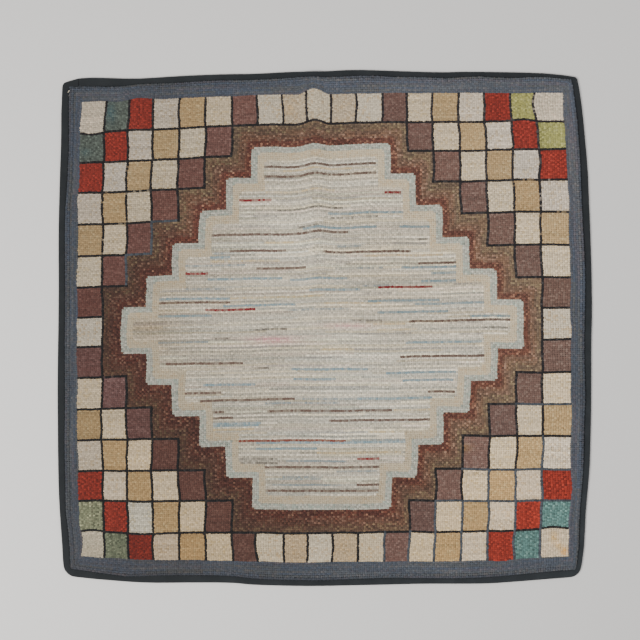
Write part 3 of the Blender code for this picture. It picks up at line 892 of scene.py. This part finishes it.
def buildPile():
    points, faces = loopTemplate()
    angle = np.radians(drawn(-pile["turn"], pile["turn"])) + math.pi * rng.integers(0, 2, count)
    length = pile["halfLength"] * drawn(*pile["sizes"]) * (1 + pile["stout"][0] * stoutLoop)
    length *= 1 + isOutline * drawn(*pile["ragged"])
    width = pile["halfWidth"] * drawn(*pile["sizes"]) * (1 + pile["stout"][1] * stoutLoop)
    # the pentagon is turned first and then drawn out along the row
    turnedX, turnedY = turned(points[:, 0], points[:, 1], angle[:, None])
    isTop = points[:, 2] > -0.5
    x = turnedX * length[:, None] + isTop * (drawn(-1, 1) * pile["lean"])[:, None]
    y = turnedY * width[:, None] + isTop * (drawn(-1, 1) * pile["lean"])[:, None]
    x += (drawn(-1, 1) * pile["wander"] * np.where(isOutline, pile["raggedWander"], 1))[:, None]
    y += (drawn(-1, 1) * pile["wander"])[:, None]
    fromCrease = loopX - crestAt(loopY) + crease["left"] * loopY / halfRug
    creased = bell(fromCrease, 0, crease["halfWidth"]) * eased(crease["start"] + loopY / halfRug)
    swell = pile["swell"] * (np.sin(loopX * 31 + loopY * 17) + np.sin(loopX * 13 - loopY * 43 + 2))
    top = surface[:, 0] + rng.normal(size=count).clip(-2, 2) * pile["uneven"]
    top = top - crease["depth"] * creased + swell + pile["stoutRise"] * stoutLoop
    drop = np.where(fromRim < 1.5, pile["rimDrop"], pile["drop"])[:, None]
    z = top[:, None] + points[:, 2] * drop + surface[:, 1:2] * x + surface[:, 2:3] * y
    shaped = np.stack((loopX[:, None] + x, loopY[:, None] + y, np.maximum(z, pile["lowest"])), axis=2)
    footShade = np.where(fromRim < 0.5, pile["rimShade"], pile["footShade"])[:, None]
    shade = np.where(fromRim < 0.5, pile["rimTone"], 1.0) * (1 - crease["shade"] * creased)
    colours = loopColour[:, None, :] * (np.where(isTop, 1.0, footShade) * shade[:, None])[:, :, None]
    # each loop has a cell of its own in the layout: the left half of the rug beside the right half
    fold = (loopsAcross + 1) // 2
    span = pile["piecesOf"]
    cellX = loopOf % fold + 0.5
    cellY = rowOf % span + span * (loopOf // fold) + 0.5
    u = (cellX[:, None] + pile["cell"] * turnedX) / fold
    v = (cellY[:, None] + pile["cell"] * turnedY) / (2 * span)
    layout = np.stack((u, v), axis=2)
    made = []
    for start in range(0, rowsAlong, span):
        mine = (rowOf >= start) & (rowOf < start + span)
        name = "loops_%d" % (start // span + 1)
        made.append(joinCopies(name, shaped[mine], faces, colours[mine], layout[mine]))
    return made


wool = {  # scale, detail and roughness of the noises, and how much they lighten the yarn
    "hairs": (900.0, 3.0, 0.65),
    "matting": (14.0, 4.0, 0.6),
    "tone": (0.90, 0.12, 0.16),
    "bump": (0.35, 0.0006),
}


def woolMaterial():
    made, wire = startMaterial("hooked wool yarn", 0.95, 0.06)
    yarn = wire.node("ShaderNodeAttribute", {"attribute_name": "yarn"})
    place = wire.node("ShaderNodeTexCoord").output(3)
    hairs = place.noise(*wool["hairs"])
    matted = place.noise(*wool["matting"])
    plain, byHair, byMatting = wool["tone"]
    yarn.scaled(plain + hairs * byHair + (matted - 0.5) * byMatting).feed("Base Color")
    strands = wire.node(
        "ShaderNodeTexWave", {"bands_direction": "DIAGONAL"},
        {"Vector": place, "Scale": 420.0, "Distortion": 6.0, "Detail": 2.0, "Detail Scale": 3.0},
    ).output(1)
    (strands * 0.5 + hairs * 0.8).feedBump(*wool["bump"])
    (0.9 + hairs * 0.1).feed("Roughness")
    return made


loopPieces = buildPile()
woolYarn = woolMaterial()
for piece in loopPieces:
    piece.data.materials.append(woolYarn)
print("pile built:", len(loopPieces), "pieces")


foundation = {  # the burlap with the feet of the loops in it; lengths in m
    "columns": 108,
    "rows": 104,
    "reach": 1.15,  # how far its margin runs under the tape, in loops
    "belowTop": 0.0016,  # the loops stand up from here
    "leastThickness": 0.0010,
    "overFloor": 0.0002,
    "lift": 0.1,  # of its top while it is made
    "burlap": (150, 122, 86),
    "yarnTone": (0.86, 0.24),
    "stitch": (0.86, 0.74),  # the share of a loop's room that its stitch fills, each way
    "stitchHeight": (0.6, 0.0008),
}


def buildFoundation():
    deselectAll()
    bpy.ops.mesh.primitive_grid_add(
        x_subdivisions=foundation["columns"], y_subdivisions=foundation["rows"], size=1.0
    )
    made = bpy.context.object
    made.name = made.data.name = "foundation"
    reach = foundation["reach"]
    flat = np.array(meshOf(made)[0])
    loop = (flat[:, 0] + 0.5) * (loopsAcross + 2 * reach) - reach
    row = (0.5 - flat[:, 1]) * (rowsAlong + 2 * reach) - reach
    x, y = placed(loop, row)
    bottom = np.empty(len(x))
    top = {}
    for i, place in enumerate(zip(x, y)):
        under = panel.ray_cast((*place, -0.05), up)[0] or panel.find_nearest((*place, 0.001))[0]
        over = panel.ray_cast((*place, above), down)[0] or under
        bottom[i] = under.z + foundation["overFloor"]
        spot = tuple(round(at, 5) for at in np.float32(place).tolist())
        top[spot] = max(over.z - foundation["belowTop"], bottom[i] + foundation["leastThickness"])
    rows = made.data.uv_layers.active or made.data.uv_layers.new(name="rows")
    rows.name = "rows"
    setUv(made.data, rows, np.stack((loop, row), axis=1))
    made.data.vertices.foreach_set("co", np.stack((x, y, bottom), axis=1).astype(np.float32).ravel())
    startEdit()
    bpy.ops.mesh.extrude_region_move(TRANSFORM_OT_translate={"value": (0, 0, foundation["lift"])})
    endEdit()
    for v in made.data.vertices:
        if v.co.z > 0.8 * foundation["lift"]:
            v.co.z = top[round(v.co.x, 5), round(v.co.y, 5)]
    startEdit()
    bpy.ops.mesh.normals_make_consistent(inside=False)
    endEdit()
    bpy.ops.object.shade_smooth_by_angle(angle=math.radians(50))
    return made


def backMaterial(name, burlapShare, shade):
    # the underside shows the same yarns as flat stitches between the threads of the burlap
    made, wire = startMaterial(name, 0.95, 0.0)
    loop = wire.node("ShaderNodeSeparateXYZ", {}, {0: wire.node("ShaderNodeUVMap", {"uv_map": "rows"})})
    row = loop.output(1)
    number = yarnNumber(loop // 1 - border["left"], row // 1 - border["far"])
    last = len(yarns) + 2
    stops = [(max(n - 0.5, 0.0) / last, paint(yarns[n].colour)) for n in sorted(yarns)]
    yarn = wire.node("ShaderNodeValToRGB", {"stops": stops}, {"Fac": number / last})
    cell = wire.node("ShaderNodeCombineXYZ", {}, {0: loop // 1, 1: row // 1})
    chance = wire.node("ShaderNodeTexWhiteNoise", {"noise_dimensions": "2D"}, {"Vector": cell})
    alongStitch = abs(loop % 1 - 0.5) * 2
    acrossStitch = abs(row % 1 - 0.5) * 2
    longest, widest = foundation["stitch"]
    gap = either((alongStitch > longest) * 1.0, (acrossStitch > widest) * 1.0)
    plain, uneven = foundation["yarnTone"]
    shaded = yarn.scaled((plain + chance * uneven) * shade)
    (gap * burlapShare).mix(shaded, paint(foundation["burlap"])).feed("Base Color")
    height = (1 - alongStitch * alongStitch) * 0.6 + (1 - acrossStitch * acrossStitch)
    height.feedBump(*foundation["stitchHeight"])
    return made


sheet = buildFoundation()
sheet.data.materials.append(backMaterial("back of the hooking", 0.55, 1.0))
# its top, seen only down between the loops, has their yarn darkened to 0.7 as painted shade
sheet.data.materials.append(backMaterial("feet of the loops", 0.0, 0.7))
for face in sheet.data.polygons:
    face.material_index = 1 if face.normal.z > 0.5 else 0
print("foundation laid")

binding = {  # lengths in m
    "longEdge": 0.016,  # longer edges than this are cut
    "cuts": 5,
    "puckerPitch": 0.0088,  # from stitch to stitch
    "puckerDepth": 0.00028,
    "puckerReach": 0.0035,
    "waverHeight": 0.0002,
    "unevenHeight": 0.00012,
    "face": (-0.006, 0.019),  # the part that is worked, outwards from the pile's edge
    "halfLength": 0.54,
    "faceHeight": 0.0034,
}


def buildBinding():
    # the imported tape, merged, cut fine along its length and rounded
    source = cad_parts["edge_binding"]
    made = source.copy()
    made.data = source.data.copy()
    made.name = made.data.name = "binding"
    for key in list(made.keys()):
        del made[key]
    made.parent = None
    bpy.context.scene.collection.objects.link(made)
    made.data.materials.clear()
    deselectAll()
    made.select_set(True)
    bpy.context.view_layer.objects.active = made
    startEdit()
    bpy.ops.mesh.remove_doubles(threshold=0.00001)
    bpy.ops.mesh.tris_convert_to_quads(face_threshold=math.radians(60), shape_threshold=math.radians(60))
    bpy.ops.mesh.select_all(action="DESELECT")
    bpy.ops.mesh.select_mode(type="EDGE")
    endEdit()
    points = made.data.vertices
    for edge in made.data.edges:
        span = points[edge.vertices[0]].co - points[edge.vertices[1]].co
        runsAlong = max(abs(span.x), abs(span.y)) > 0.95 * span.length
        edge.select = span.length > binding["longEdge"] and runsAlong
    bpy.ops.object.mode_set(mode="EDIT")
    bpy.ops.mesh.subdivide(number_cuts=binding["cuts"], smoothness=0.0)
    endEdit()
    rounder = made.modifiers.new("rounder", "SUBSURF")
    rounder.levels = rounder.render_levels = 1
    bpy.ops.object.modifier_apply(modifier=rounder.name)
    co = np.array(meshOf(made)[0])
    x, y, z = co.T.copy()
    innermost, outermost = binding["face"]
    for side, (sign, axis) in sides.items():
        along, across = (y, x) if axis == 0 else (x, y)
        out = (across - pileEdge(side, along)) * sign
        onSide = (out > innermost) & (out < outermost) & (np.abs(along) < binding["halfLength"])
        onSide = onSide & (z > binding["faceHeight"])
        near = bell(out, 0, binding["puckerReach"])
        pull = np.cos(math.tau * along / binding["puckerPitch"]) * near
        slow = np.sin(along * 61 + sign) + np.sin(along * 23 + 2 * sign + axis)
        co[:, 2] -= onSide * binding["puckerDepth"] * (0.5 + 0.5 * pull) * near
        co[:, 2] += onSide * binding["unevenHeight"] * slow
        co[:, axis] += onSide * sign * binding["waverHeight"] * pull
    made.data.vertices.foreach_set("co", co.astype(np.float32).ravel())
    bpy.ops.object.shade_smooth_by_angle(angle=math.radians(60))
    return made


twill = {
    "dark": (33, 39, 42),
    "worn": (53, 57, 59),
    "ribs": 1100,  # a metre
    "wear": (26.0, 5.0, 0.6),  # scale, detail and roughness of its noises
    "lint": (700.0, 2.0, 0.6),
    "mixture": (1.3, 0.5, 0.12),  # how much wear, lint and ribs lighten it
    "faded": (1.04, 0.40, 1.3, 0.12),  # everywhere, rightward, at the near right and along the far side
    "turn": (0.0022, 0.0030),  # heights between which its fold turns down
    "turnShade": 0.42,
    "bump": (0.5, 0.0004),
}


def tapeMaterial():
    # dark cotton twill, a little worn along its fold, with painted shade where the fold turns down to the
    # floor
    made, wire = startMaterial("binding tape twill", 0.9, 0.12)
    place = wire.node("ShaderNodeTexCoord").output(3)
    across = wire.node("ShaderNodeSeparateXYZ", {}, {0: place})
    along, height = across.output(1), across.output(2)
    ribs = abs(((across + along) * twill["ribs"]) % 1 - 0.5) * 2
    cross = abs(((across - along) * twill["ribs"] * 1.7) % 1 - 0.5) * 2
    lint = place.noise(*twill["lint"])
    byWear, byLint, byRibs = twill["mixture"]
    amount = (place.noise(*twill["wear"]) - 0.42) * byWear + (lint - 0.5) * byLint + ribs * byRibs
    mixed = amount.mix(paint(twill["dark"]), paint(twill["worn"]))
    # the tape is more faded towards the right, most at the near corner there
    level, right, nearRight, far = twill["faded"]
    faded = level + across * right - (across > 0) * across * along * nearRight + (along > halfRug) * far
    # and darker with painted shade where its fold turns down to the floor
    foot, rise = twill["turn"]
    lit = wire.node("ShaderNodeClamp", {}, {0: (height - foot) / rise})
    faded = faded * (twill["turnShade"] + lit * lit * (1 - twill["turnShade"]))
    mixed.scaled(faded).feed("Base Color")
    (ribs * 0.7 + cross * 0.3 + lint * 0.4).feedBump(*twill["bump"])
    return made


tapePiece = buildBinding()
tapePiece.data.materials.append(tapeMaterial())
print("tape folded:", len(tapePiece.data.polygons), "faces")

sewing = {  # lengths in m; pairs are a range
    "length": 0.0046,
    "lengths": (0.85, 1.1),
    "thickness": 0.0007,
    "turns": (0.45, 0.75),  # radians
    "stray": 0.0008,
    "outward": 0.0008,  # onto the tape from the pile's edge
    "halfRuns": (0.52, 0.54),  # along the sides, and along the ends
    "sink": 0.9,  # how far the ends dip in, in thicknesses
    "paleLength": 0.0085,
    "paleThickness": 0.0011,
    "seed": 11,
}
Mark = namedtuple("Mark", "x y turn length")
paleMarks = (Mark(-0.5602, 0.5212, 38, 1.35), Mark(-0.5588, 0.5110, 26, 0.60))  # at the far left corner


def stitchTemplate():
    # a short thread that can dip in at both ends
    deselectAll()
    bpy.ops.mesh.primitive_cylinder_add(
        vertices=5, radius=0.5, depth=1.0, end_fill_type="TRIFAN", rotation=(0, math.pi / 2, 0)
    )
    bpy.ops.object.transform_apply(location=True, rotation=True, scale=True)
    startEdit()
    for cut in (-0.25, 0.0, 0.25):
        bpy.ops.mesh.select_all(action="SELECT")
        bpy.ops.mesh.bisect(plane_co=(cut, 0, 0), plane_no=(1, 0, 0))
    bpy.ops.mesh.select_all(action="SELECT")
    bpy.ops.mesh.quads_convert_to_tris()
    endEdit()
    return takeMesh(bpy.context.object)


def sewn(name, places):
    # places: x, y, height, turn in radians, length and thickness of each stitch
    points, faces = stitchTemplate()
    x, y, z, turn, length, thickness = [np.array(column)[:, None] for column in zip(*places)]
    px, py = turned(points[:, 0] * length, points[:, 1] * thickness, turn)
    sink = (2 * points[:, 0]) ** 4 * thickness * sewing["sink"]
    return joinCopies(name, np.stack((x + px, y + py, z + points[:, 2] * thickness - sink), axis=2), faces)


def topHeight(x, y):
    spots = [tree.ray_cast((x, y, above), down)[0] for tree in (panel, tape)]
    return max(spot.z for spot in spots if spot)


def slipStitches():
    hand = np.random.default_rng(sewing["seed"])
    places = []
    pitch = binding["puckerPitch"]
    for side, (sign, axis) in sides.items():
        half = int(sewing["halfRuns"][axis] / pitch)
        for step in range(-half, half + 1):
            along = step * pitch + hand.uniform(-sewing["stray"], sewing["stray"])
            across = float(pileEdge(side, along)) + sign * sewing["outward"]
            x, y = (across, along) if axis == 0 else (along, across)
            turn = hand.uniform(*sewing["turns"]) + (0 if axis else math.pi / 2)
            length = sewing["length"] * hand.uniform(*sewing["lengths"])
            places.append((x, y, topHeight(x, y) + 0.0001, turn, length, sewing["thickness"]))
    return sewn("slip_stitches", places)


def repairStitches():
    # each mark is a doubled thread
    places = []
    thickness = sewing["paleThickness"]
    for mark in paleMarks:
        for strand in (-0.5, 0.5):
            x = mark.x + strand * thickness * 0.8
            y = mark.y - strand * thickness * 0.8
            turn = math.radians(mark.turn + strand * 8)
            length = sewing["paleLength"] * mark.length
            places.append((x, y, topHeight(x, y) + 0.0005, turn, length, thickness))
    return sewn("repair_stitches", places)


def threadMaterial(name, colour, second):
    made, wire = startMaterial(name, 0.8, 0.1)
    values = {"Vector": wire.node("ShaderNodeTexCoord").output(3), "Scale": 900.0}
    twist = wire.node("ShaderNodeTexWave", {"bands_direction": "DIAGONAL"}, values).output(1)
    twist.mix(paint(colour), paint(second)).feed("Base Color")
    twist.feedBump(0.5, 0.0002)
    return made


slipPiece = slipStitches()
slipPiece.data.materials.append(threadMaterial("dark sewing thread", (42, 46, 50), (58, 60, 64)))
repairPiece = repairStitches()
repairPiece.data.materials.append(threadMaterial("pale repair thread", (214, 208, 196), (186, 180, 168)))
print("tape sewn on")

for piece in loopPieces + [sheet]:
    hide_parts("hooked_panel")
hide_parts("edge_binding")
for piece in loopPieces + [sheet, tapePiece, slipPiece, repairPiece]:
    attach(piece, "root")

stage = {
    "floorColour": (0.62, 0.60, 0.57),
    "floorSize": 12.0,
    "cameraHeight": 2.2,
    "viewWidth": 1.408,
    "middle": (-0.0105, 0.0176),
    "lights": (  # place, size and power
        ("key", (-1.9, -0.9, 2.6), 1.6, 138.0),
        ("fill", (2.1, 1.3, 2.8), 2.2, 42.0),
    ),
    "skyColour": (0.93, 0.95, 1.0),
    "sky": 0.62,
}


def buildFloor():
    deselectAll()
    bpy.ops.mesh.primitive_plane_add(size=stage["floorSize"], location=(0, 0, -0.0004))
    floor = bpy.context.object
    floor.name = "floor"
    floor.data.materials.append(startMaterial("plain pale floor", 0.7, 0.0, stage["floorColour"])[0])
    bpy.ops.object.transform_apply(location=True, rotation=True, scale=True)


def addLight(name, place, size, power):
    lamp = bpy.data.lights.new(name, "AREA")
    lamp.shape = "DISK"
    lamp.size = size
    lamp.energy = power
    holder = bpy.data.objects.new(name, lamp)
    holder.location = place
    holder.rotation_euler = (-Vector(place)).to_track_quat("-Z", "Y").to_euler()
    bpy.context.scene.collection.objects.link(holder)


buildFloor()
for light in stage["lights"]:
    addLight(*light)
world = bpy.data.worlds.new("soft studio")
bpy.context.scene.world = world
world.use_nodes = True
sky = world.node_tree.nodes["Background"].inputs
sky["Color"].default_value = (*stage["skyColour"], 1.0)
sky["Strength"].default_value = stage["sky"]
lens = bpy.data.cameras.new("camera")
lens.lens = lens.sensor_width * stage["cameraHeight"] / stage["viewWidth"]
camera = bpy.data.objects.new("camera", lens)
camera.location = (*stage["middle"], stage["cameraHeight"])
bpy.context.scene.collection.objects.link(camera)
bpy.context.scene.camera = camera
print("stage set")
